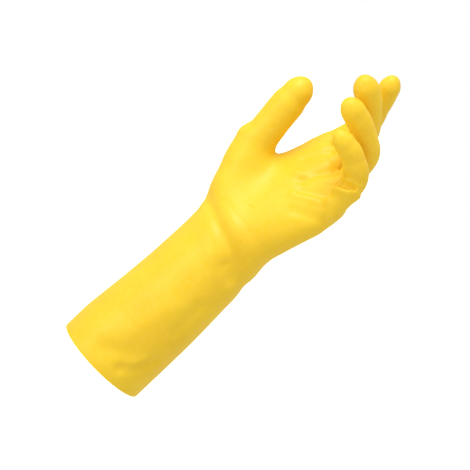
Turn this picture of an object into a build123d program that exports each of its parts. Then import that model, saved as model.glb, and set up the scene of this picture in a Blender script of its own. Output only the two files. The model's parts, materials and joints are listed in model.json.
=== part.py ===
from build123d import *

import os
from collections import namedtuple

# A household rubber glove for the left hand, dipped on a hand former in a relaxed, half-open
# pose. The glove is one latex film with a bonded cotton flock lining. Both are divided at the
# lines where the glove flexes, so each zone is a film shell with its own lining shell inside.
# Frame: origin at the centre of the cuff's mouth, +Z up the forearm to the fingers, the palm
# faces -Y and the thumb is on the -X side. Lengths are millimetres and angles are degrees.

# Walls
FILM_THICKNESS = 0.5
BOND_THICKNESS = 0.05
FLOCK_THICKNESS = 0.35
HINGE_GAP = 0.5  # each zone stops this far short of its flex line

# Cuff, wrist and palm
MOUTH_DIAMETER = 81.0
MOUTH_STRAIGHT = 24.0
FOREARM_LENGTH = 151.0  # cuff mouth to the middle of the wrist
SLEEVE_LENGTH = 33.0  # wrist sleeve, between the sideways and the forward flex lines
WRIST_WIDTH = 72.0
WRIST_DEPTH = 60.0
WRIST_OVERRUN = 10.0  # tube kept past the wrist's flex line before it is trimmed
WRIST_EXTENSION = 12.5
WRIST_DEVIATION = 8.5

# Palm sections: height above the wrist, width, depth, centre x, centre y, tilt to the little finger
PALM_SECTIONS = (
    (14.0, 74.0, 55.0, -1.0, 0.0, 0.0),
    (38.0, 82.0, 47.0, -1.0, -1.0, 0.0),
    (62.0, 87.0, 41.0, 1.0, -1.0, 2.0),
    (82.0, 88.0, 34.0, 2.0, -1.0, 8.0),
    (98.0, 82.0, 24.0, 3.0, -5.0, 14.0),
)

# One finger: knuckle place in the hand's frame, distance from the knuckle to the root flex line,
# zone lengths, radii at the four stations, sideways spread, roll, twist of the root's axis,
# moulded bends at knuckle, middle and tip joints, and the most that each flex line bends
Finger = namedtuple("Finger", "name knuckle root lengths radii spread roll twist bends most")
FINGERS = (
    Finger("index", (-30.5, 1.5, 89.5), 26.0, (44.0, 26.0, 25.0), (10.7, 10.4, 10.0, 9.2),
           4.5, 11.0, 0.0, (4.5, 30.0, 9.0), (40.0, 80.0, 42.0)),
    Finger("middle", (-6.5, 3.5, 86.0), 26.0, (48.0, 30.0, 25.0), (10.9, 10.6, 10.3, 9.7),
           5.0, 15.0, 0.0, (25.0, 37.5, 17.0), (40.0, 80.0, 42.0)),
    Finger("ring", (16.5, 1.5, 84.5), 26.0, (44.0, 28.0, 25.0), (10.5, 10.2, 9.9, 9.0),
           9.0, 20.0, 0.0, (31.0, 48.5, 15.5), (40.0, 80.0, 42.0)),
    Finger("little", (35.5, -7.0, 75.5), 22.0, (35.0, 21.0, 23.0), (9.5, 9.2, 8.9, 8.0),
           15.5, 26.5, 9.0, (35.0, 47.0, 22.5), (36.0, 78.0, 42.0)),
)

# Thumb: place of its base joint in the hand's frame, then the same kinds of values
THUMB_BASE = (-21.0, -11.0, 17.0)
THUMB_SWING_LINE = 16.0  # base joint to the swing flex line
THUMB_FOLD_LINE = 14.0  # thumb knuckle to the fold flex line, past the web
THUMB_LENGTHS = (44.0, 33.0, 31.0)
THUMB_RADII = (17.0, 14.0, 12.6, 11.0)
THUMB_SPREAD = 36.0
THUMB_FORWARD = 26.5
THUMB_ROLL = 86.5
THUMB_SWING_TWIST = 200.0
THUMB_BENDS = (-22.0, -4.5)

# Travel of the flex lines from the moulded shape
DEVIATION_TRAVEL = (-28.0, 20.0)
FLEXION_TRAVEL = (-23.0, 57.0)
SWING_TRAVEL = (-22.0, 12.0)
FOLD_TRAVEL = (-35.0, 22.0)
THUMB_TIP_LEAST = -55.0  # from straight

SWING_CLEARANCE = 0.8  # room round the thumb's base in the window that it swings in
SWING_STOPS = 5  # places in its travel where the window is cut
CUTTER_MARGIN = 0.5  # how far a stub's trimming tool stands outside the stub
CUTTER_DEPTH = 12.0
STUB_OVERRUN = 3.0

Layer = namedtuple("Layer", "name outer inner")
LINING_OUTSIDE = FILM_THICKNESS + BOND_THICKNESS
LAYERS = (
    Layer("film", 0.0, FILM_THICKNESS),
    Layer("lining", LINING_OUTSIDE, LINING_OUTSIDE + FLOCK_THICKNESS),
)

# A flex line: the frame at its pivot seen from each side, with X along its axis and Z along the
# glove, its bend from straight at rest, and the least and the most bend from straight
Flex = namedtuple("Flex", "below above rest least most")


def flex_line(place, bend, least, most):
    """A flex line at place, whose far side is bent by bend about the local X axis."""
    return Flex(place, place * Rotation(bend, 0, 0), bend, least, most)


def along(place, distance):
    """The same frame, moved up its own Z axis."""
    return place * Location((0, 0, distance))


def trim_planes(flex, side):
    """The two planes that trim one zone at a flex line, so that bending never makes it touch."""
    place = flex.above if side > 0 else flex.below
    planes = []
    for lean in (flex.least / 2, flex.most / 2):
        turned = place * Location((0, 0, side * HINGE_GAP)) * Rotation(-side * lean, 0, 0)
        planes.append(Plane(turned) if side > 0 else -Plane(turned))
    return planes


def trim_zone(flex, side):
    """Trims the part in hand to one side of a flex line."""
    for plane in trim_planes(flex, side):
        split(bisect_by=plane, keep=Keep.TOP)


def trim_stub(flex, radius):
    """Cuts the end of one stub to its flex line and leaves the rest of the part alone."""
    for plane in trim_planes(flex, -1):
        with BuildPart(mode=Mode.PRIVATE) as cutter:
            with Locations(flex.below):
                Cylinder(radius + CUTTER_MARGIN, 2 * CUTTER_DEPTH)
            split(bisect_by=plane, keep=Keep.BOTTOM)
        add(cutter.part, mode=Mode.SUBTRACT)


def tube(place, length, start_radius, end_radius, mode):
    """A tapered round bar from place, up its own Z axis."""
    with Locations(place):
        Cone(start_radius, end_radius, length, align=(Align.CENTER, Align.CENTER, Align.MIN), mode=mode)


def ball(place, radius, mode):
    """A ball at place, where a limb bends or ends."""
    with Locations(place):
        Sphere(radius, mode=mode)


def walls(layer):
    """The outside and the hollow of one layer: the inset of each, and what it does."""
    return ((layer.outer, Mode.ADD), (layer.inner, Mode.SUBTRACT))


def mixed(start, end, share):
    """The value a share of the way from start to end."""
    return start + (end - start) * share


# Places and flex lines
wrist = Location((0, 0, FOREARM_LENGTH))
hand = wrist * Rotation(0, WRIST_DEVIATION, 0) * Rotation(-WRIST_EXTENSION, 0, 0)
wrist_middle = wrist * Rotation(0, WRIST_DEVIATION / 2, 0) * Rotation(-WRIST_EXTENSION / 2, 0, 0)
sleeve_start = along(wrist, -SLEEVE_LENGTH)

flexes = {
    "wrist_deviation": flex_line(sleeve_start * Rotation(0, 0, 90), 0, *DEVIATION_TRAVEL),
    "wrist_flexion": flex_line(wrist_middle, 0, *FLEXION_TRAVEL),
}

finger_places = {}
for finger in FINGERS:
    knuckle = hand * Location(finger.knuckle) * Rotation(0, finger.spread, 0)
    first = knuckle * Rotation(0, 0, -finger.roll) * Rotation(finger.bends[0], 0, 0)
    root_axis = along(first, finger.root) * Rotation(0, 0, finger.twist)
    flexes[finger.name + "_root"] = flex_line(root_axis, 0, -finger.bends[0], finger.most[0])
    middle = flex_line(along(first, finger.lengths[0]), finger.bends[1], 0, finger.most[1])
    flexes[finger.name + "_middle"] = middle
    tip = flex_line(along(middle.above, finger.lengths[1]), finger.bends[2], 0, finger.most[2])
    flexes[finger.name + "_tip"] = tip
    finger_places[finger.name] = first

thumb = hand * Location(THUMB_BASE) * Rotation(0, -THUMB_SPREAD, 0) * Rotation(THUMB_FORWARD, 0, 0)
swing_axis = along(thumb, THUMB_SWING_LINE) * Rotation(0, 0, THUMB_SWING_TWIST)
flexes["thumb_swing"] = flex_line(swing_axis, 0, *SWING_TRAVEL)
thumb_rolled = thumb * Rotation(0, 0, -THUMB_ROLL)
thumb_knuckle = along(thumb_rolled, THUMB_LENGTHS[0]) * Rotation(THUMB_BENDS[0], 0, 0)
flexes["thumb_fold"] = flex_line(along(thumb_knuckle, THUMB_FOLD_LINE), 0, *FOLD_TRAVEL)
flexes["thumb_tip"] = flex_line(
    along(thumb_knuckle, THUMB_LENGTHS[1]), THUMB_BENDS[1], THUMB_TIP_LEAST, 0
)

root_radii = {}
for finger in FINGERS:
    root_radii[finger.name] = mixed(*finger.radii[:2], finger.root / finger.lengths[0])
thumb_swing_radius = mixed(*THUMB_RADII[:2], THUMB_SWING_LINE / THUMB_LENGTHS[0])
thumb_fold_radius = mixed(*THUMB_RADII[1:3], THUMB_FOLD_LINE / THUMB_LENGTHS[1])


def make_cuff(layer):
    """The gauntlet: a straight round mouth, then a taper to the wrist sleeve."""
    with BuildPart() as cuff:
        for inset, mode in walls(layer):
            with BuildSketch(Plane.XY):
                Circle(MOUTH_DIAMETER / 2 - inset)
            extrude(amount=MOUTH_STRAIGHT, mode=mode)
            forearm_taper(inset, mode)
        trim_zone(flexes["wrist_deviation"], -1)
    return cuff.part


def forearm_taper(inset, mode):
    """The oval taper from the cuff's straight mouth to just past the wrist."""
    with BuildSketch(Plane.XY.offset(MOUTH_STRAIGHT)) as low:
        Ellipse(MOUTH_DIAMETER / 2 - inset, MOUTH_DIAMETER / 2 - inset)
    with BuildSketch(Plane.XY.offset(FOREARM_LENGTH + WRIST_OVERRUN)) as high:
        Ellipse(WRIST_WIDTH / 2 - inset, WRIST_DEPTH / 2 - inset)
    loft((low.sketch, high.sketch), mode=mode)


def make_sleeve(layer):
    """The wrist sleeve, between the sideways and the forward flex lines."""
    with BuildPart() as sleeve:
        for inset, mode in walls(layer):
            forearm_taper(inset, mode)
        trim_zone(flexes["wrist_deviation"], 1)
        trim_zone(flexes["wrist_flexion"], -1)
    return sleeve.part


def make_palm(layer):
    """The palm and back of the hand, with a stub for the thumb and for each finger."""
    with BuildPart() as palm:
        for inset, mode in walls(layer):
            palm_body(inset, mode)
            tube(thumb, THUMB_SWING_LINE + STUB_OVERRUN, THUMB_RADII[0] - inset,
                 thumb_swing_radius - inset, mode)
            ball(thumb, THUMB_RADII[0] - inset, mode)
            for finger in FINGERS:
                place = finger_places[finger.name]
                tube(place, finger.root + STUB_OVERRUN, finger.radii[0] - inset,
                     root_radii[finger.name] - inset, mode)
                ball(place, finger.radii[0] - inset, mode)
        cut_swing_window()
        trim_zone(flexes["wrist_flexion"], 1)
        trim_stub(flexes["thumb_swing"], thumb_swing_radius)
        for finger in FINGERS:
            trim_stub(flexes[finger.name + "_root"], finger.radii[0])
    return palm.part


def cut_swing_window():
    """Opens the side of the palm where the thumb's base swings."""
    flex = flexes["thumb_swing"]
    for stop in range(SWING_STOPS):
        bend = mixed(flex.least, flex.most, stop / (SWING_STOPS - 1))
        swung = flex.below * Rotation(bend, 0, 0)
        tube(swung, THUMB_LENGTHS[0] - THUMB_SWING_LINE, thumb_swing_radius + SWING_CLEARANCE,
             THUMB_RADII[1] + SWING_CLEARANCE, Mode.SUBTRACT)


def palm_body(inset, mode):
    """The body of the hand, lofted from the wrist to the webs between the fingers."""
    with BuildSketch(Plane(along(hand, -WRIST_OVERRUN))) as heel:
        Ellipse(WRIST_WIDTH / 2 - inset, WRIST_DEPTH / 2 - inset)
    sections = [heel.sketch]
    for height, width, depth, x, y, tilt in PALM_SECTIONS:
        last = height == PALM_SECTIONS[-1][0]
        place = hand * Location((x, y, height)) * Rotation(0, tilt, 0)
        with BuildSketch(Plane(along(place, -inset if last else 0))) as section:
            Ellipse(width / 2 - inset, depth / 2 - inset)
        sections.append(section.sketch)
    loft(sections, ruled=True, mode=mode)


def make_finger_root(finger, layer):
    """The first zone of a finger, from its root flex line to its middle flex line."""
    start = along(finger_places[finger.name], finger.root)
    with BuildPart() as root:
        for inset, mode in walls(layer):
            tube(start, finger.lengths[0] - finger.root, root_radii[finger.name] - inset,
                 finger.radii[1] - inset, mode)
        trim_zone(flexes[finger.name + "_root"], 1)
        trim_zone(flexes[finger.name + "_middle"], -1)
    return root.part


def make_finger_middle(finger, layer):
    """The second zone of a finger, between its middle and its tip flex lines."""
    start = flexes[finger.name + "_middle"].above
    with BuildPart() as middle:
        for inset, mode in walls(layer):
            tube(start, finger.lengths[1], finger.radii[1] - inset, finger.radii[2] - inset, mode)
        trim_zone(flexes[finger.name + "_middle"], 1)
        trim_zone(flexes[finger.name + "_tip"], -1)
    return middle.part


def make_end(flex, length, start_radius, end_radius, layer):
    """The closed end of a finger or of the thumb: a tapered tube with a domed tip."""
    with BuildPart() as end:
        for inset, mode in walls(layer):
            straight = length - end_radius
            tube(flex.above, straight, start_radius - inset, end_radius - inset, mode)
            ball(along(flex.above, straight), end_radius - inset, mode)
        trim_zone(flex, 1)
    return end.part


def make_thumb_base(layer):
    """The thumb's base, from its swing flex line, bent at the knuckle, to its fold flex line."""
    start = along(thumb, THUMB_SWING_LINE)
    with BuildPart() as base:
        for inset, mode in walls(layer):
            tube(start, THUMB_LENGTHS[0] - THUMB_SWING_LINE, thumb_swing_radius - inset,
                 THUMB_RADII[1] - inset, mode)
            ball(thumb_knuckle, THUMB_RADII[1] - inset, mode)
            tube(thumb_knuckle, THUMB_FOLD_LINE, THUMB_RADII[1] - inset,
                 thumb_fold_radius - inset, mode)
        trim_zone(flexes["thumb_swing"], 1)
        trim_zone(flexes["thumb_fold"], -1)
    return base.part


def make_thumb_middle(layer):
    """The thumb's middle zone, between its fold and its tip flex lines."""
    start = flexes["thumb_fold"].above
    with BuildPart() as middle:
        for inset, mode in walls(layer):
            tube(start, THUMB_LENGTHS[1] - THUMB_FOLD_LINE, thumb_fold_radius - inset,
                 THUMB_RADII[2] - inset, mode)
        trim_zone(flexes["thumb_fold"], 1)
        trim_zone(flexes["thumb_tip"], -1)
    return middle.part


def write(piece, zone, layer):
    """Labels one finished piece and writes its STEP file."""
    name = zone + "_" + layer.name
    piece.label = name
    export_step(piece, "parts/" + name + ".step")


os.makedirs("parts", exist_ok=True)
for layer in LAYERS:
    write(make_cuff(layer), "cuff", layer)
    write(make_sleeve(layer), "wrist", layer)
    write(make_palm(layer), "palm", layer)
    write(make_thumb_base(layer), "thumb_base", layer)
    write(make_thumb_middle(layer), "thumb_middle", layer)
    thumb_end = make_end(flexes["thumb_tip"], THUMB_LENGTHS[2], *THUMB_RADII[2:], layer)
    write(thumb_end, "thumb_tip", layer)
    for finger in FINGERS:
        write(make_finger_root(finger, layer), finger.name + "_root", layer)
        write(make_finger_middle(finger, layer), finger.name + "_middle", layer)
        finger_end = make_end(flexes[finger.name + "_tip"], finger.lengths[2], *finger.radii[2:], layer)
        write(finger_end, finger.name + "_tip", layer)
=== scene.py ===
import json
import math

import bpy
import numpy as np
from mathutils import Matrix, Vector


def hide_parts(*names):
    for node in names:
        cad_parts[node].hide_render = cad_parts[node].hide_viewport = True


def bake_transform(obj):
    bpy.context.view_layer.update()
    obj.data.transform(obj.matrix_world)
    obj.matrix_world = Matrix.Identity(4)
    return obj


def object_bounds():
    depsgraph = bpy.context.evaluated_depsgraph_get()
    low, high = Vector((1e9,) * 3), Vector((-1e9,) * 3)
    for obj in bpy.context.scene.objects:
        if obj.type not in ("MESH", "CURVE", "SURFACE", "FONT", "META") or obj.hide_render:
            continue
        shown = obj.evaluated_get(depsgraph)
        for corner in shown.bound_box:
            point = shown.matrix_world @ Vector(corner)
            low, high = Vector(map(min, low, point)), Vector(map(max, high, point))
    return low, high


# A household rubber glove: one latex film with a flock lining inside. The film is the zero surface
# of one smooth distance field, meshed once and then divided where the glove flexes. The lining is the
# same field's surface a little farther in. The field's lengths are millimetres in the row frame, and
# the finished meshes are in metres.

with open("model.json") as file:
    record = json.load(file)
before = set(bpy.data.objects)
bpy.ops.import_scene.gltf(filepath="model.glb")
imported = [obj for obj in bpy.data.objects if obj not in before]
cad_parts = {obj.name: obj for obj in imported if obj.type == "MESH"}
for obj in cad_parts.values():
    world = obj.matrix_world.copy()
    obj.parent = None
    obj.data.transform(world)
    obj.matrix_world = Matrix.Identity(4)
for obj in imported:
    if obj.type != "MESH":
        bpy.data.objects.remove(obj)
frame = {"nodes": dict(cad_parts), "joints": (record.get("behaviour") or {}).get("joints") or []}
cad_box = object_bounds()
joints = {joint["name"]: joint for joint in frame["joints"]}

MM = 0.001
FILM_CELL = 0.75
LINING_CELL = 1.6
GRID_MARGIN = 14.0  # how far the grid reaches past the CAD box
CELLS_BELOW_MOUTH = 5.5
BLOCK = 8  # cells along one side of a block that is kept or skipped as a whole
BLOCKS_AT_ONCE = 600
BAND = 4.0  # a block this far from the surface is still kept
FILM_THICKNESS = 0.5
LINING_DEPTH = 0.95  # from the film's outside to the lining's inside
LINING_EDGE = -0.4  # the lining's cut edge, which goes outward, back to the film
RIM_HEIGHT = 6.0
MOUTH_MARGIN = 0.2  # a quad with no corner above this lies below the mouth

FINGERS = ("index", "middle", "ring", "little")

# ---------------------------------------------------------------- places, from the frame


def pivot(name):
    """A joint's place, in millimetres."""
    return np.array(joints[name]["pos_m"]) / MM


def unit(vector):
    """The vector at length 1."""
    return np.asarray(vector, float) / np.linalg.norm(vector)


def rotation(axis, degrees):
    """A 3x3 rotation about X or Y."""
    return np.array(Matrix.Rotation(math.radians(degrees), 3, axis))


def apex(node, start):
    """The vertex of a CAD node that is farthest from start."""
    points = np.array([v.co for v in frame["nodes"][node].data.vertices]) / MM
    return points[np.argmax(np.linalg.norm(points - start, axis=1))]


WRIST = pivot("wrist_flexion")
HAND_ASIDE = 8.5  # degrees that the hand leans to the little finger's side
HAND_BACK = 12.5  # degrees that it leans back
HAND_TURN = rotation("Y", HAND_ASIDE) @ rotation("X", -HAND_BACK)
MIDDLE_TURN = rotation("Y", HAND_ASIDE / 2) @ rotation("X", -HAND_BACK / 2)  # half way, at the wrist


def in_hand(x, y, z):
    """A point given in the hand's own frame: X to the little finger, Y to the back, Z distal."""
    return WRIST + HAND_TURN @ np.array((x, y, z), float)


# Finger: knuckle to root joint, radii at knuckle, middle joint, tip joint and end
FINGER_SIZES = {
    "index": (26.0, (10.9, 10.3, 9.1, 8.5)),
    "middle": (26.0, (11.0, 10.6, 10.5, 10.2)),
    "ring": (26.0, (10.7, 10.2, 10.1, 9.6)),
    "little": (22.0, (8.4, 10.2, 9.2, 8.3)),
}
# How far the skin's centre line stands off the CAD's, at the tip joint and at the apex
LEAN = {
    "index": ((-0.7, -0.9, -1.2), (0.0, -0.4, -1.6)),
    "middle": ((-0.4, -0.5, -0.7), (0.2, 0.0, -1.7)),
    "ring": ((-0.7, -0.8, -1.0), (-0.7, -0.8, -1.1)),
    "little": ((0.0, 0.0, 0.0), (0.0, 0.0, 0.6)),
    "thumb": ((0.6, 0.9, 2.0), (0.7, 1.0, 3.9)),
}
THUMB_BASE = in_hand(-21.0, -11.0, 17.0)
THUMB_KNUCKLE_REACH = 44.0
THUMB_RADII = (17.0, 14.0, 13.7, 11.8)
END_SHARE = 0.8  # the end ball's radius as a share of the last radius, so that a fingertip is long and round
PAD_BACK = 5.0  # the pad's middle lies this much more than its radius behind the apex
PAD_SWELL = 0.3
CORNER = 8.0  # how far from a joint its bend begins
CORNER_SHARE = 0.45  # and at most this share of the length to the next joint
CORNER_STEPS = 4


def smooth_line(joints, radii):
    """A centre line with rounded corners: its points and the radius at each."""
    joints = [np.asarray(j, float) for j in joints]
    points, sizes = [joints[0]], [radii[0]]
    for before, here, after, size in zip(joints, joints[1:], joints[2:], radii[1:]):
        shorter = min(np.linalg.norm(here - before), np.linalg.norm(after - here))
        reach = min(CORNER, CORNER_SHARE * shorter)
        a = here + reach * unit(before - here)
        b = here + reach * unit(after - here)
        for t in np.linspace(0, 1, CORNER_STEPS + 1):
            points.append((1 - t) ** 2 * a + 2 * t * (1 - t) * here + t * t * b)
            sizes.append(size)
    points.append(joints[-1])
    sizes.append(radii[-1])
    return points, sizes


def finger_joints(name):
    """Knuckle, middle joint, tip joint and the apex of one finger."""
    root, middle, tip = (pivot(f"{name}_{part}_flex") for part in ("root", "middle", "tip"))
    knuckle = root - FINGER_SIZES[name][0] * unit(middle - root)
    return [knuckle, middle, tip, apex(name + "_tip_film", tip)]


def thumb_joints():
    """Base, knuckle, tip joint and the apex of the thumb."""
    knuckle = THUMB_BASE + THUMB_KNUCKLE_REACH * unit(pivot("thumb_swing") - THUMB_BASE)
    tip = pivot("thumb_tip_flex")
    return [THUMB_BASE, knuckle, tip, apex("thumb_tip_film", tip)]


def digit_line(name, radii):
    """The centre line of a finger or the thumb, ending in a ball that is smaller than the pad before it."""
    places = [*JOINTS[name][:2], *(JOINTS[name][2:] + np.array(LEAN[name]))]
    out = unit(places[-1] - places[-2])
    pad = places[-1] - (radii[-1] + PAD_BACK) * out
    end = places[-1] - END_SHARE * radii[-1] * out
    return smooth_line([*places[:-1], pad, end], [*radii[:-1], radii[-1] + PAD_SWELL, END_SHARE * radii[-1]])


JOINTS = {name: finger_joints(name) for name in FINGERS}
JOINTS["thumb"] = thumb_joints()
LINES = {name: digit_line(name, FINGER_SIZES[name][1]) for name in FINGERS}
LINES["thumb"] = digit_line("thumb", THUMB_RADII)

# ---------------------------------------------------------------- the distance field


FAR = 40.0  # stands for the distance of anything beyond a limb's reach
REACH = 16.0  # a limb's distance is worked out this far from its surface
TABLE_STEP = 0.5
FOLD_BAND = BAND + 4  # folds are worked out this far from the surface

# Fillets where the parts of the glove meet
ARM_END_FILLET = 8.0
PALM_END_FILLET = 10.0
THENAR_FILLET = 4.0
THUMB_FILLET = 17.0
FINGER_FILLET = 5.0
WRIST_FILLET = 5.0
FREE_FILLET = 1.0  # between two fingers beyond their web
WEB_FILLET = 6.5  # what the web adds to that


def ramp(value, low, high):
    """0 below low, 1 above high and a smooth step between them."""
    t = np.clip((value - low) / (high - low), 0, 1)
    return t * t * (3 - 2 * t)


def union(a, b, reach):
    """The smaller of two distances, with a fillet where both are within reach of each other."""
    h = np.maximum(reach - np.abs(a - b), 0) / reach
    return np.minimum(a, b) - h * h * reach / 4


def cut(a, b, reach):
    """The larger of two distances, rounded in the same way."""
    return -union(-a, -b, reach)


def limb(points, line, radii, soft=0.7):
    """Distance to a bent, tapered limb. Points far from it are only known to be far."""
    line = np.array(line, np.float32)
    radii = np.array(radii, np.float32)
    far = np.float32(FAR)
    distance = np.full(len(points), far, np.float32)
    low = line.min(axis=0) - radii.max() - REACH
    high = line.max(axis=0) + radii.max() + REACH
    near = np.flatnonzero(((points > low) & (points < high)).all(axis=1))
    points = points[near]
    found = []
    for a, b, ra, rb in zip(line, line[1:], radii, radii[1:]):
        axis = b - a
        t = np.clip((points - a) @ axis / (axis @ axis), 0, 1)
        centre = a + t[:, None] * axis
        gap = points - centre
        size = ra + t * (rb - ra)
        found.append((np.sqrt(np.einsum("ij,ij->i", gap, gap)) - size, centre, size))
    nearest = np.min([f[0] for f in found], axis=0)
    weight = np.zeros(len(near), np.float32)
    middle = np.zeros((len(near), 3), np.float32)
    size = np.zeros(len(near), np.float32)
    for d, centre, radius in found:
        w = np.exp((nearest - d) / soft)
        weight += w
        middle += w[:, None] * centre
        size += w * radius
    gap = points - middle / weight[:, None]
    distance[near] = np.sqrt(np.einsum("ij,ij->i", gap, gap)) - size / weight
    return distance


def smooth_table(rows, window):
    """Section rows (height first) read at every table step and averaged over a window."""
    rows = np.array(rows, float)
    heights = np.arange(rows[0, 0] - window, rows[-1, 0] + window, TABLE_STEP)
    kernel = np.hanning(int(window / TABLE_STEP) | 1)
    kernel /= kernel.sum()
    pad = len(kernel) // 2
    columns = [heights]
    for column in rows[:, 1:].T:
        plain = np.interp(heights, rows[:, 0], column)
        columns.append(np.convolve(np.pad(plain, pad, mode="edge"), kernel, mode="valid"))
    return np.array(columns, np.float32)


def sectioned(x, y, height, table):
    """Distance to a body of oval sections: height, half width, half depth, centre x and y, power."""
    heights, *columns = table
    a, b, cx, cy, n = (np.interp(height, heights, column).astype(np.float32) for column in columns)
    x = x - cx
    y = y - cy
    k = ((np.abs(x) / a) ** n + (np.abs(y) / b) ** n) ** (1 / n)
    return np.hypot(x, y) * (1 - 1 / np.maximum(k, 0.02))


# Sections of the arm in the row frame, and of the palm in the hand's frame
ARM = smooth_table((
    (-14, 40.5, 40.5, 0, 0, 2.0),
    (24, 40.5, 40.5, 0.2, 0.2, 2.0),
    (60, 39.4, 38.0, 1.4, 1.4, 2.0),
    (90, 38.4, 35.5, 1.8, 1.8, 2.0),
    (140, 37.0, 31.8, 1.4, 1.2, 2.0),
    (161, 36.0, 30.0, 0, 0, 2.0),
), 20)
ARM_TOP = 159.0
PALM = smooth_table((
    (-16, 34.0, 28.0, 0, 0, 2.0),
    (2, 35.5, 28.8, -0.5, 0, 2.0),
    (14, 38.0, 28.0, -1, 0, 2.05),
    (38, 41.0, 24.0, -1, -1, 2.1),
    (62, 41.8, 20.5, 0.1, -1, 2.2),
    (82, 40.4, 17.5, -0.4, -1, 2.2),
    (98, 38.2, 14.0, 0.2, -3, 2.2),
), 14)
PALM_START = -12.0
PALM_END = 97.0
PALM_TILT = 14.0  # degrees that the palm's end slopes down to the little finger
PALM_TILT_SPAN = (35, 95)
WEB_START = 6.0  # from the knuckle
WEB_END = {"index": 17, "middle": 17, "ring": 17, "little": 15}

# The ball of the thumb is a limb of its own, shifted out of the palm.
THENAR_SHIFT = 4.5 * unit((-0.74, -0.67, 0))
THENAR_BULGE = 1.35  # at the thumb's base the shift is larger by this factor
THENAR_REACH = 17.0
THENAR_RADII = (13.5, 17.8, 17.6, 13.2)
THENAR = smooth_line([
    in_hand(-22.5, -7.5, 5),
    THUMB_BASE + THENAR_BULGE * THENAR_SHIFT,
    THUMB_BASE + THENAR_REACH * unit(JOINTS["thumb"][1] - THUMB_BASE) + THENAR_SHIFT,
    JOINTS["thumb"][1] + THENAR_SHIFT,
], THENAR_RADII)

# Folds in the film: height (below 0 it is a crease), width and the line that it follows over the
# surface. HAND_FOLDS are in the hand's frame and ARM_FOLDS in the row frame.
HAND_FOLDS = (
    (3.6, 2.3, ((30, -19, 83), (34, -24.5, 86.5), (40, -24.5, 90), (43.5, -21.5, 93), (44, -19, 99))),
    (-4.0, 3.0, ((32, -27, 92.5), (37.5, -28.5, 95), (42, -26, 99))),
    (-2.6, 1.7, ((31, -30, 98), (39.2, -33.5, 101.5), (42, -31, 105.5))),
    (-2.0, 4.4, ((-11, -16, 95), (-15, -19, 77))),
    (-2.4, 4.4, ((8, -17, 92), (5, -20.5, 67))),
    (1.5, 3.8, ((20, -19, 88), (9, -20, 76), (-4, -20, 66))),
    (-1.9, 3.8, ((29, -20, 82), (14, -22, 62))),
    (1.5, 3.6, ((34, -18, 76), (14, -22, 56))),
    (-1.6, 4.2, ((41, -12, 66), (26, -20, 50))),
    (-0.6, 1.1, ((7, -26.6, 21.3), (7.6, -26.6, 21.9))),
)
ARM_FOLDS = (
    (-3.0, 7.0, ((34, -14, 131), (38, -6, 127))),
    (1.3, 6.0, ((24, -27, 128), (31, -18, 116), (36, -9, 104))),
    (-2.4, 4.5, ((36, -17, 14), (39.8, -7.4, 22.5), (40.4, 0, 36))),
    (1.1, 4.0, ((39.5, -9, 32), (38, -13, 18))),
    (-2.0, 8.0, ((22, -33, 16), (33, -23, 26))),
    (-1.4, 6.0, ((39, -6, 66), (38.5, -7, 92))),
    (1.0, 7.0, ((27, -28, 44), (31, -21, 80))),
)
FOLD_FLATTEN = np.array((1, 0.3, 1), np.float32)  # depth counts less, so that a fold can't miss the surface

# The crease at the wrist follows a plane in the hand's frame. Its waves are height, place and width.
CREASE_NORMAL = (0.02, 0.15, 0.99)
CREASE_OFFSET = 10.5
CREASE_WAVES = ((1.8, 13, 9), (-2.8, 0, 5), (1.2, -12, 8))
CREASE_FAINTEST = 0.3  # how much of it is left on the back
CREASE_SPAN = (-8, 24)


def folds(points, table, scale=1.0):
    """How far the folds of a table move the surface outward."""
    moved = np.zeros(len(points), np.float32)
    for height, width, line in table:
        line = np.array(line, float) * scale
        d = limb(points * np.float32(scale), line, np.zeros(len(line)))
        moved += np.float32(height) * np.exp(-(d / width) ** 2)
    return moved


def wrist_crease(local):
    """The crease at the wrist and the heel of the hand that swells over it, strongest on the palm's side."""
    x, y, z = local.T
    a, b, c = CREASE_NORMAL
    d = a * x + b * y + c * z + CREASE_OFFSET
    weight = CREASE_FAINTEST + (1 - CREASE_FAINTEST) * ramp(0.5 * x - y, *CREASE_SPAN)
    return weight * sum(height * np.exp(-((d - at) / width) ** 2) for height, at, width in CREASE_WAVES)


def palm_body(local):
    """Distance to the body of the hand, without its limbs."""
    x, y, z = local.T
    lean = math.tan(math.radians(PALM_TILT)) * ramp(z, *PALM_TILT_SPAN)
    height = z + x * lean
    body = sectioned(x, y, height, PALM)
    body = cut(body, height - PALM_END, PALM_END_FILLET)
    return cut(body, PALM_START - z, PALM_END_FILLET)


def fingers_body(points):
    """Distance to the four fingers. They join in webs near their knuckles and part beyond."""
    whole = None
    for name in FINGERS:
        knuckle, middle = JOINTS[name][:2]
        d = limb(points, *LINES[name])
        along = (points - knuckle.astype(np.float32)) @ unit(middle - knuckle).astype(np.float32)
        web = FREE_FILLET + WEB_FILLET * (1 - ramp(along, WEB_START, WEB_END[name]))
        whole = d if whole is None else union(whole, d, web)
    return whole


def glove(points):
    """Distance to the outside of the glove's film, closed below the cuff's mouth."""
    points = np.asarray(points, np.float32)
    local = (points - WRIST.astype(np.float32)) @ HAND_TURN.astype(np.float32)
    x, y, z = points.T
    arm = sectioned(x, y, z, ARM)
    arm = cut(arm, z - ARM_TOP, ARM_END_FILLET)
    thumb = union(limb(points, *LINES["thumb"]), limb(points, *THENAR), THENAR_FILLET)
    hand = union(palm_body(local), thumb, THUMB_FILLET)
    hand = union(hand, fingers_body(points), FINGER_FILLET)
    bare = union(arm, hand, WRIST_FILLET)
    near = np.flatnonzero(np.abs(bare) < FOLD_BAND)
    bare[near] -= folds(local[near], HAND_FOLDS, FOLD_FLATTEN)
    bare[near] -= folds(points[near], ARM_FOLDS)
    bare[near] -= wrist_crease(local[near])
    return bare


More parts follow.
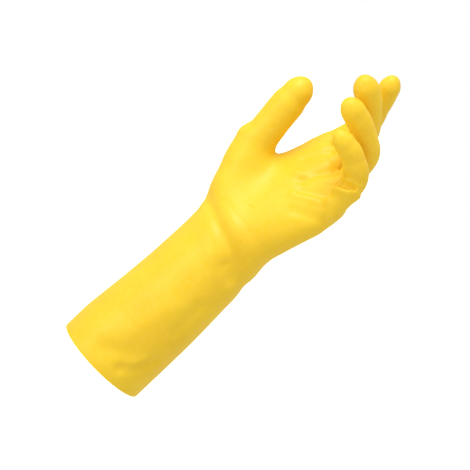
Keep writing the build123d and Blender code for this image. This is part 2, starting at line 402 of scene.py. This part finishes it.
def gradient(shape, points, step=0.35):
    """The field's gradient at the points, by central differences."""
    columns = []
    for axis in range(3):
        offset = np.zeros(3, np.float32)
        offset[axis] = step
        columns.append((shape(points + offset) - shape(points - offset)) / (2 * step))
    return np.stack(columns, axis=1)


# ---------------------------------------------------------------- meshing


def sample(shape, low, high, cell):
    """The field on a regular grid, worked out only in the blocks that are near its surface."""
    side = BLOCK * cell
    blocks = np.ceil((high - low) / side).astype(int)
    field = np.empty(blocks * BLOCK, np.float32)
    tiled = field.reshape(blocks[0], BLOCK, blocks[1], BLOCK, blocks[2], BLOCK)
    corners = np.argwhere(np.ones(blocks, bool))
    middles = low + (corners + 0.5) * side
    centre = np.concatenate([shape(part) for part in np.array_split(middles, 8)])
    tiled[:] = centre.reshape(blocks)[:, None, :, None, :, None]
    near = corners[np.abs(centre) < side * math.sqrt(3) / 2 + BAND]
    steps = np.argwhere(np.ones((BLOCK,) * 3, bool))
    for part in np.array_split(near, max(1, len(near) // BLOCKS_AT_ONCE)):
        nodes = part[:, None, :] * BLOCK + steps[None, :, :]
        values = shape((low + nodes.reshape(-1, 3) * cell).astype(np.float32))
        field[tuple(nodes.reshape(-1, 3).T)] = values
    return field


def surface_net(field, low, cell):
    """Vertices and quads of the field's zero surface, one vertex in each cell that it crosses."""
    inside = field < 0
    size = np.array(field.shape)
    ends = [(i, j, k) for i in (0, 1) for j in (0, 1) for k in (0, 1)]
    count = np.zeros(size - 1, np.int8)
    for i, j, k in ends:
        count += inside[i:size[0] - 1 + i, j:size[1] - 1 + j, k:size[2] - 1 + k]
    active = (count > 0) & (count < 8)
    number = np.full(active.shape, -1, np.int64)
    cells = np.argwhere(active)
    number[active] = np.arange(len(cells))
    total = np.zeros((len(cells), 3))
    hits = np.zeros(len(cells))
    for a in ends:
        for axis in range(3):
            if a[axis]:
                continue
            b = np.array(a)
            b[axis] = 1
            fa = field[tuple((cells + a).T)]
            fb = field[tuple((cells + b).T)]
            crossed = (fa < 0) != (fb < 0)
            spot = np.tile(np.array(a, float), (len(cells), 1))
            spot[:, axis] = np.where(crossed, fa / np.where(crossed, fa - fb, 1), 0)
            total[crossed] += spot[crossed]
            hits += crossed
    vertices = low + cell * (cells + total / hits[:, None])
    quads = []
    for axis in range(3):
        u, v = np.eye(3, dtype=int)[[(axis + 1) % 3, (axis + 2) % 3]]
        first = [slice(1, n - 1) for n in size]
        second = list(first)
        first[axis] = slice(0, size[axis] - 1)
        second[axis] = slice(1, size[axis])
        a, b = inside[tuple(first)], inside[tuple(second)]
        nodes = np.argwhere(a != b)
        outward = a[tuple(nodes.T)]
        nodes += 1
        nodes[:, axis] -= 1
        ring = [number[tuple((nodes - shift).T)] for shift in (u + v, v, 0 * u, u)]
        quad = np.stack(ring, axis=1)
        quad[~outward] = quad[~outward][:, ::-1]
        quads.append(quad)
    return vertices, np.concatenate(quads)


def relax(vertices, quads, shape, rounds=2):
    """Evens out the quads and puts each vertex back on the surface. Returns vertices and normals."""
    for turn in range(rounds + 1):
        if turn:
            total = np.zeros_like(vertices)
            hits = np.zeros(len(vertices))
            for i in range(4):
                for j in (i - 1, i - 3):
                    np.add.at(total, quads[:, i], vertices[quads[:, j]])
                    np.add.at(hits, quads[:, i], 1)
            vertices = 0.5 * vertices + 0.5 * total / np.maximum(hits, 1)[:, None]
        slope = gradient(shape, vertices)
        steep = np.maximum(np.einsum("ij,ij->i", slope, slope), 0.05)
        vertices = vertices - (shape(vertices) / steep)[:, None] * slope
    slope = gradient(shape, vertices)
    return vertices, slope / np.linalg.norm(slope, axis=1)[:, None]


# ---------------------------------------------------------------- zones that bend

zones = {}


def zone(piece, parent, child, centre, direction, half, stands_for):
    """A piece of the glove, the bodies on either side of the joint that it lies over, and the span around
    that joint where the pieces are cut.
    """
    direction = unit(direction)
    zones[piece] = {
        "bodies": (parent, child),
        "start": centre - half * direction,
        "end": centre + half * direction,
        "stands_for": stands_for,
    }


def progress(piece, points):
    """How far along a piece's bending zone each point is: 0 at its start and 1 at its end."""
    start, end = zones[piece]["start"], zones[piece]["end"]
    return (points - start) @ (end - start) / ((end - start) @ (end - start))


# Each zone's middle and half length. A zone lies a little off its joint where the planes of two zones
# would otherwise cross within the glove.
UP = np.array((0, 0, 1.0))
ALONG_WRIST = MIDDLE_TURN[:, 2]
CUFF_MIDDLE = pivot("wrist_deviation") - 4 * UP
CUFF_HALF = 14.0
WRIST_MIDDLE = WRIST - 3 * ALONG_WRIST
WRIST_HALF = 15.0
SWING_DIRECTION = HAND_TURN @ unit((-0.6, -0.77, 0.15))
SWING_MIDDLE = WRIST + 54.5 * SWING_DIRECTION
SWING_HALF = 5.5
THUMB_OUT = unit(JOINTS["thumb"][2] - JOINTS["thumb"][1])
THUMB_END = unit(JOINTS["thumb"][3] - JOINTS["thumb"][2])
THUMB_FOLD_MIDDLE = pivot("thumb_fold_flex") + 7.5 * THUMB_OUT
THUMB_FOLD_HALF = 3.8
THUMB_TIP_MIDDLE = pivot("thumb_tip_flex") + 5.5 * THUMB_OUT
THUMB_TIP_HALF = 5.0
ROOT_SPANS = {"index": (24, 35), "middle": (24, 38.5), "ring": (21.5, 34), "little": (17.5, 26.5)}
FINGER_HALF = {"index": 7.5, "middle": 7.5, "ring": 7.5, "little": 6.5}
SEAM_MARGIN = 1.0  # the seam at a finger's root comes this far before its bending zone
NEAR_DIGIT = 3.0  # a quad this close to a finger's or the thumb's own surface may belong to it

zone("cuff", "cuff", "wrist", CUFF_MIDDLE, UP + 0.3 * ALONG_WRIST, CUFF_HALF, ["cuff"])
zone("wrist", "wrist", "palm", WRIST_MIDDLE, ALONG_WRIST, WRIST_HALF, ["wrist"])
zone("palm", "palm", "thumb_base", SWING_MIDDLE, SWING_DIRECTION, SWING_HALF, ["palm", "thumb_base"])
# The thumb's three zones lie aslant, each less than the one before, so that their planes don't cross in it.
zone("thumb_fold", "thumb_base", "thumb_middle", THUMB_FOLD_MIDDLE,
     2 * SWING_DIRECTION + THUMB_OUT, THUMB_FOLD_HALF, ["thumb_middle"])
zone("thumb_tip", "thumb_middle", "thumb_tip", THUMB_TIP_MIDDLE,
     SWING_DIRECTION + THUMB_OUT + THUMB_END, THUMB_TIP_HALF, ["thumb_tip"])
for finger in FINGERS:
    knuckle, middle, tip, end = JOINTS[finger]
    u0, u1, u2 = unit(middle - knuckle), unit(tip - middle), unit(end - tip)
    low, high = ROOT_SPANS[finger]
    bend = FINGER_HALF[finger]
    root, mid, far = (f"{finger}_{part}" for part in ("root", "middle", "tip"))
    zone(root, "palm", root, knuckle + (low + high) / 2 * u0, 2 * u0 + u1, (high - low) / 2, [root])
    zone(mid, root, mid, middle, u0 + u1, bend, [mid])
    zone(far, mid, far, tip, u1 + u2, bend, [far])


def divide(vertices, quads):
    """The piece that each quad belongs to, as a number in the order of the zones."""
    order = list(zones)
    label = np.zeros(len(quads), int)

    def passed(piece, limit=1.0):
        """Which quads lie wholly beyond a piece's zone, or beyond a limit in it."""
        return (progress(piece, vertices) >= limit)[quads].all(axis=1)

    def step(parent, child, test):
        """Hands the quads of the parent that pass the test to the child."""
        label[(label == order.index(parent)) & test] = order.index(child)

    step("cuff", "wrist", passed("cuff"))
    step("wrist", "palm", passed("wrist"))
    distances = np.stack([limb(vertices.astype(np.float32), *LINES[name]) for name in (*FINGERS, "thumb")])
    nearest = distances.argmin(axis=0)
    close = distances.min(axis=0) < NEAR_DIGIT
    for i, name in enumerate(FINGERS):
        own = ((nearest == i) & close)[quads].all(axis=1)
        seam = -SEAM_MARGIN / np.linalg.norm(zones[name + "_root"]["end"] - zones[name + "_root"]["start"])
        step("palm", name + "_root", own & passed(name + "_root", seam))
        step(name + "_root", name + "_middle", passed(name + "_root"))
        step(name + "_middle", name + "_tip", passed(name + "_middle"))
    step("palm", "thumb_fold", passed("palm"))
    step("thumb_fold", "thumb_tip", passed("thumb_fold"))
    return label


# ---------------------------------------------------------------- materials


def new_material(name):
    """An empty node material: its tree, its shader and a helper that adds and links nodes."""
    material = bpy.data.materials.new(name)
    material.use_nodes = True
    tree = material.node_tree
    shader = tree.nodes["Principled BSDF"]

    def node(kind, inputs=(), **settings):
        made = tree.nodes.new(kind)
        for key, value in settings.items():
            setattr(made, key, value)
        for socket, value in dict(inputs).items():
            if isinstance(value, bpy.types.NodeSocket):
                tree.links.new(value, made.inputs[socket])
            else:
                made.inputs[socket].default_value = value
        return made

    return material, shader, tree, node


# In metres, as the rest attribute is
GRIP_RADIUS = 0.039
GRIP_HEIGHT = 0.058  # the middle of the cuff's patches, from the mouth
GRIP_HALF_HEIGHT = (0.0118, 0.0125)  # a patch fades out between these
GRIP_EDGE = (-0.12, -0.02)  # and sideways between these cosines
GRIP_PATCHES = 4.0
GRIP_TURN = math.radians(-75)  # the middle of one patch
GRIP_PITCH = 0.0026
GRIP_WAVE = 0.0104
GRIP_SWING = 1.3
PALM_PITCH = 0.0030
PALM_RELIEF = 0.3
PALM_FACING = (0.1, 0.6)  # the palm's lattice fades in as the surface turns to the palm's side
PALM_FADE = (2, 16)  # and as it leaves the wrist, in millimetres
LATEX_DEEP = (0.90, 0.575, 0.004, 1)
LATEX_BRIGHT = (0.94, 0.635, 0.009, 1)
FLOCK_DEEP = (0.75, 0.56, 0.16, 1)
FLOCK_PALE = (0.95, 0.80, 0.38, 1)
MIX_A, MIX_B, MIX_RESULT = 6, 7, 2  # the colour sockets of a Mix node


def latex_material():
    """Yellow natural latex: satin, a little uneven in colour and gloss, with a fine grain."""
    material, shader, tree, node = new_material("latex_film")
    rest = node("ShaderNodeAttribute", attribute_name="rest").outputs["Vector"]
    broad = node("ShaderNodeTexNoise", {"Vector": rest, "Scale": 28.0, "Detail": 3.0}).outputs["Fac"]
    mottle = node("ShaderNodeTexNoise", {"Vector": rest, "Scale": 260.0, "Detail": 4.0}).outputs["Fac"]
    colour = node("ShaderNodeValToRGB", {"Fac": broad})
    colour.color_ramp.elements[0].position = 0.3
    colour.color_ramp.elements[0].color = LATEX_DEEP
    colour.color_ramp.elements[1].position = 0.7
    colour.color_ramp.elements[1].color = LATEX_BRIGHT
    inputs = {"Factor": 0.06, MIX_A: colour.outputs["Color"], MIX_B: mottle}
    tint = node("ShaderNodeMix", inputs, data_type="RGBA")
    tree.links.new(tint.outputs[MIX_RESULT], shader.inputs["Base Color"])
    gloss = node("ShaderNodeMapRange", {"Value": mottle, "To Min": 0.38, "To Max": 0.5})
    tree.links.new(gloss.outputs["Result"], shader.inputs["Roughness"])
    shader.inputs["Specular IOR Level"].default_value = 0.4
    grain = node("ShaderNodeTexNoise", {"Vector": rest, "Scale": 900.0, "Detail": 5.0}).outputs["Fac"]
    bump = node("ShaderNodeBump", {"Height": grain, "Strength": 0.25, "Distance": 0.0002})

    def maths(operation, *values):
        """The result of a Math node on sockets or numbers."""
        return node("ShaderNodeMath", dict(enumerate(values)), operation=operation).outputs["Value"]

    def between(value, low, high):
        """0 where the value is low, 1 where it is high."""
        inputs = {"Value": value, "From Min": low, "From Max": high}
        return node("ShaderNodeMapRange", inputs).outputs["Result"]

    # embossed grip: waves on the cuff's patches, and a finer lattice on the palm's side of the hand
    spot = node("ShaderNodeSeparateXYZ", {"Vector": rest}).outputs
    angle = maths("ARCTAN2", spot["Y"], spot["X"])
    arc = maths("MULTIPLY", angle, GRIP_RADIUS)
    swing = maths("MULTIPLY", maths("SINE", maths("MULTIPLY", arc, math.tau / GRIP_WAVE)), GRIP_SWING)
    waves = maths("SINE", maths("ADD", maths("MULTIPLY", spot["Z"], math.tau / GRIP_PITCH), swing))
    around = maths("COSINE", maths("MULTIPLY", maths("SUBTRACT", angle, GRIP_TURN), GRIP_PATCHES))
    aside = between(around, *GRIP_EDGE)
    off_centre = maths("ABSOLUTE", maths("SUBTRACT", spot["Z"], GRIP_HEIGHT))
    within = between(off_centre, *reversed(GRIP_HALF_HEIGHT))
    patches = maths("MULTIPLY", maths("MULTIPLY", waves, aside), within)
    palm_weight = node("ShaderNodeAttribute", attribute_name="grip").outputs["Fac"]
    fine = [maths("SINE", maths("MULTIPLY", maths(kind, spot["X"], spot["Z"]), math.tau / PALM_PITCH))
            for kind in ("ADD", "SUBTRACT")]
    lattice = maths("MULTIPLY", maths("MULTIPLY", *fine), palm_weight)
    relief = maths("ADD", patches, maths("MULTIPLY", lattice, PALM_RELIEF))
    emboss = node("ShaderNodeBump", {"Height": relief, "Strength": 0.45, "Distance": 0.00020,
                                     "Normal": bump.outputs["Normal"]})
    tree.links.new(emboss.outputs["Normal"], shader.inputs["Normal"])
    return material


def flock_material():
    """Cotton flock: short matt fibres in a paler yellow."""
    material, shader, tree, node = new_material("flock_lining")
    rest = node("ShaderNodeAttribute", attribute_name="rest").outputs["Vector"]
    tufts = node("ShaderNodeTexNoise", {"Vector": rest, "Scale": 700.0, "Detail": 6.0}).outputs["Fac"]
    colour = node("ShaderNodeValToRGB", {"Fac": tufts})
    colour.color_ramp.elements[0].color = FLOCK_DEEP
    colour.color_ramp.elements[1].color = FLOCK_PALE
    tree.links.new(colour.outputs["Color"], shader.inputs["Base Color"])
    shader.inputs["Roughness"].default_value = 0.95
    shader.inputs["Sheen Weight"].default_value = 0.4
    bump = node("ShaderNodeBump", {"Height": tufts, "Strength": 0.6, "Distance": 0.0005})
    tree.links.new(bump.outputs["Normal"], shader.inputs["Normal"])
    return material


# ---------------------------------------------------------------- pieces


def make_mesh(name, vertices, quads, normals, material):
    """One mesh object, in metres, that keeps its rest place and palm weight for the material."""
    mesh = bpy.data.meshes.new(name)
    mesh.from_pydata((vertices * MM).tolist(), [], quads.tolist())
    mesh.polygons.foreach_set("use_smooth", np.ones(len(quads), bool))
    rest = mesh.attributes.new("rest", "FLOAT_VECTOR", "POINT")
    rest.data.foreach_set("vector", (vertices * MM).astype(np.float32).ravel())
    local = (vertices - WRIST) @ HAND_TURN
    facing = normals @ HAND_TURN[:, 1]
    grip = mesh.attributes.new("grip", "FLOAT", "POINT")
    weight = ramp(-facing, *PALM_FACING) * ramp(local[:, 2], *PALM_FADE)
    grip.data.foreach_set("value", weight.astype(np.float32))
    mesh.materials.append(material)
    mesh.update()
    mesh.normals_split_custom_set_from_vertices(normals.tolist())
    made = bpy.data.objects.new(name, mesh)
    bpy.context.scene.collection.objects.link(made)
    return made


def open_mouth(vertices, quads):
    """Cuts the cuff off at the mouth's plane, Z = 0."""
    quads = quads[(vertices[:, 2] > MOUTH_MARGIN)[quads].any(axis=1)]
    vertices = vertices.copy()
    vertices[:, 2] = np.maximum(vertices[:, 2], 0)
    return vertices, quads


def mouth_ring(vertices, quads):
    """The mouth's edge as a ring of vertex numbers, in order of angle."""
    low = np.unique(quads[(vertices[:, 2] <= 0)[quads].any(axis=1)])
    low = low[vertices[low, 2] <= 0]
    edges = np.concatenate([quads[:, [i, (i + 1) % 4]] for i in range(4)])
    pairs = np.sort(edges, axis=1)
    found, counts = np.unique(pairs, axis=0, return_counts=True)
    rim = np.intersect1d(low, found[counts == 1])
    angle = np.arctan2(vertices[rim, 1], vertices[rim, 0])
    return rim[np.argsort(angle)]


def add_rim(vertices, quads, normals, depth, sign):
    """Adds the cut edge and a short inner wall, so that the mouth shows the wall's thickness."""
    ring = mouth_ring(vertices, quads)
    side = normals[ring] * (1, 1, 0)
    side /= np.linalg.norm(side, axis=1)[:, None]
    edge = vertices[ring]
    inner = edge - depth * side
    layers = [(edge, -UP), (inner, -UP), (inner, -side), (inner + RIM_HEIGHT * UP, -side)]
    count, size = len(vertices), len(ring)
    for points, normal in layers:
        vertices = np.concatenate([vertices, points])
        normals = np.concatenate([normals, np.broadcast_to(normal, points.shape)])
    extra = []
    here = np.arange(size)
    after = (here + 1) % size
    for layer in (0, 2):
        low = count + layer * size
        high = low + size
        strip = np.stack([low + here, low + after, high + after, high + here], axis=1)
        extra.append(strip[:, ::sign])
    return vertices, np.concatenate([quads, *extra]), normals


def make_layer(suffix, cell, shape, material, rim_depth, facing):
    """Meshes one layer of the glove and divides it into pieces, one for each zone."""
    low = np.array(cad_box[0]) / MM - GRID_MARGIN
    high = np.array(cad_box[1]) / MM + GRID_MARGIN
    low[2] = -CELLS_BELOW_MOUTH * cell
    vertices, quads = surface_net(sample(shape, low, high, cell), low, cell)
    vertices, normals = relax(vertices, quads, shape)
    vertices, quads = open_mouth(vertices, quads)
    label = divide(vertices, quads)
    for number, piece in enumerate(zones):
        own = quads[label == number]
        used, flat = np.unique(own, return_inverse=True)
        points, faces, facets = vertices[used], flat.reshape(own.shape), normals[used]
        if facing < 0:
            faces = faces[:, ::-1]
        if piece == "cuff":
            points, faces, facets = add_rim(points, faces, facets, rim_depth, -facing)
        name = f"{piece}_{suffix}_skin"
        made = make_mesh(name, points, faces, facets * facing, material)
        settings = zones[piece]
        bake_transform(made)
        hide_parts(*(f"{node}_{suffix}" for node in settings["stands_for"]))


def inside_of(shape, depth):
    """The same field, with its surface moved inward."""
    return lambda points: shape(points) + np.float32(depth)


make_layer("film", FILM_CELL, glove, latex_material(), FILM_THICKNESS, 1)
make_layer("lining", LINING_CELL, inside_of(glove, LINING_DEPTH), flock_material(),
           LINING_EDGE, -1)

# ---------------------------------------------------------------- camera, light and stage

AZIMUTH = math.radians(42.3)
ELEVATION = math.radians(7.0)
ROLL = math.radians(46.1)
CAMERA_DISTANCE = 1.5
CAMERA_DROP = 0.0028
LENS = 143.6
AIM = Vector(WRIST * MM)
# Lights: name, offsets to the right, up and toward the camera in metres, side in metres, watts
LIGHTS = (
    ("key_light", 0.15, 1.0, 0.55, 0.5, 6.5),
    ("front_light", -0.85, 0.45, 0.85, 0.6, 4),
)
WORLD_LEVEL = 0.82
WORLD_TONE = (1, 0.96, 0.6, 1)
WHITE = (1, 1, 1, 1)
FLOOR_GREY = (0.9, 0.9, 0.9, 1)
FLOOR_HALF = 12.0
FLOOR_HEIGHT = -0.16


def camera_axes():
    """The camera's right, up and backward directions."""
    across = Vector((math.cos(AZIMUTH), math.sin(AZIMUTH), 0))
    back = Vector((math.sin(AZIMUTH) * math.cos(ELEVATION), -math.cos(AZIMUTH) * math.cos(ELEVATION),
                   math.sin(ELEVATION)))
    above = back.cross(across)
    right = math.cos(ROLL) * across + math.sin(ROLL) * above
    return right, back.cross(right), back


def place(made, location, right, up, back):
    """Puts an object at a place with its own axes along the three directions."""
    turn = Matrix((right, up, back)).transposed().to_4x4()
    made.matrix_world = Matrix.Translation(location) @ turn
    bpy.context.scene.collection.objects.link(made)


def add_camera():
    """The camera, at the viewing angle of the reference picture."""
    data = bpy.data.cameras.new("camera")
    data.lens = LENS
    data.sensor_width = 36
    data.clip_start, data.clip_end = 0.05, 60
    camera = bpy.data.objects.new("camera", data)
    right, up, back = camera_axes()
    place(camera, AIM - CAMERA_DROP * up + CAMERA_DISTANCE * back, right, up, back)
    bpy.context.scene.camera = camera


def add_light(name, across, above, toward, size, power):
    """A soft square light, placed by its offsets from the glove as the camera sees it."""
    right, up, back = camera_axes()
    offset = across * right + above * up + toward * back
    aim = offset.normalized()
    side = up.cross(aim).normalized()
    data = bpy.data.lights.new(name, "AREA")
    data.size = size
    data.energy = power
    place(bpy.data.objects.new(name, data), AIM + offset, side, aim.cross(side), aim)


def add_world():
    """White surroundings. As light they are dimmer and warmer than as a backdrop."""
    world = bpy.data.worlds.new("surroundings")
    world.use_nodes = True
    tree = world.node_tree
    shade = tree.nodes["Background"]
    seen = tree.nodes.new("ShaderNodeLightPath")
    level = tree.nodes.new("ShaderNodeMapRange")
    level.inputs["To Min"].default_value = WORLD_LEVEL
    level.inputs["To Max"].default_value = 1.0
    tree.links.new(seen.outputs["Is Camera Ray"], level.inputs["Value"])
    tree.links.new(level.outputs["Result"], shade.inputs["Strength"])
    tone = tree.nodes.new("ShaderNodeMix")
    tone.data_type = "RGBA"
    tone.inputs[MIX_A].default_value = WORLD_TONE
    tone.inputs[MIX_B].default_value = WHITE
    tree.links.new(seen.outputs["Is Camera Ray"], tone.inputs["Factor"])
    tree.links.new(tone.outputs[MIX_RESULT], shade.inputs["Color"])
    bpy.context.scene.world = world


def add_floor():
    """A wide pale floor below the glove. It glows white and throws nothing on the glove."""
    mesh = bpy.data.meshes.new("floor")
    signs = ((-1, -1), (1, -1), (1, 1), (-1, 1))
    corners = [(x * FLOOR_HALF, y * FLOOR_HALF, FLOOR_HEIGHT) for x, y in signs]
    mesh.from_pydata(corners, [], [(0, 1, 2, 3)])
    material, shader = new_material("pale_floor")[:2]
    shader.inputs["Base Color"].default_value = FLOOR_GREY
    shader.inputs["Roughness"].default_value = 0.9
    shader.inputs["Emission Color"].default_value = WHITE
    shader.inputs["Emission Strength"].default_value = 1.0
    mesh.materials.append(material)
    floor = bpy.data.objects.new("floor", mesh)
    floor.visible_diffuse = False
    floor.visible_glossy = False
    bpy.context.scene.collection.objects.link(floor)


bpy.context.scene.view_settings.view_transform = "Standard"
add_camera()
add_world()
add_floor()
for light in LIGHTS:
    add_light(*light)
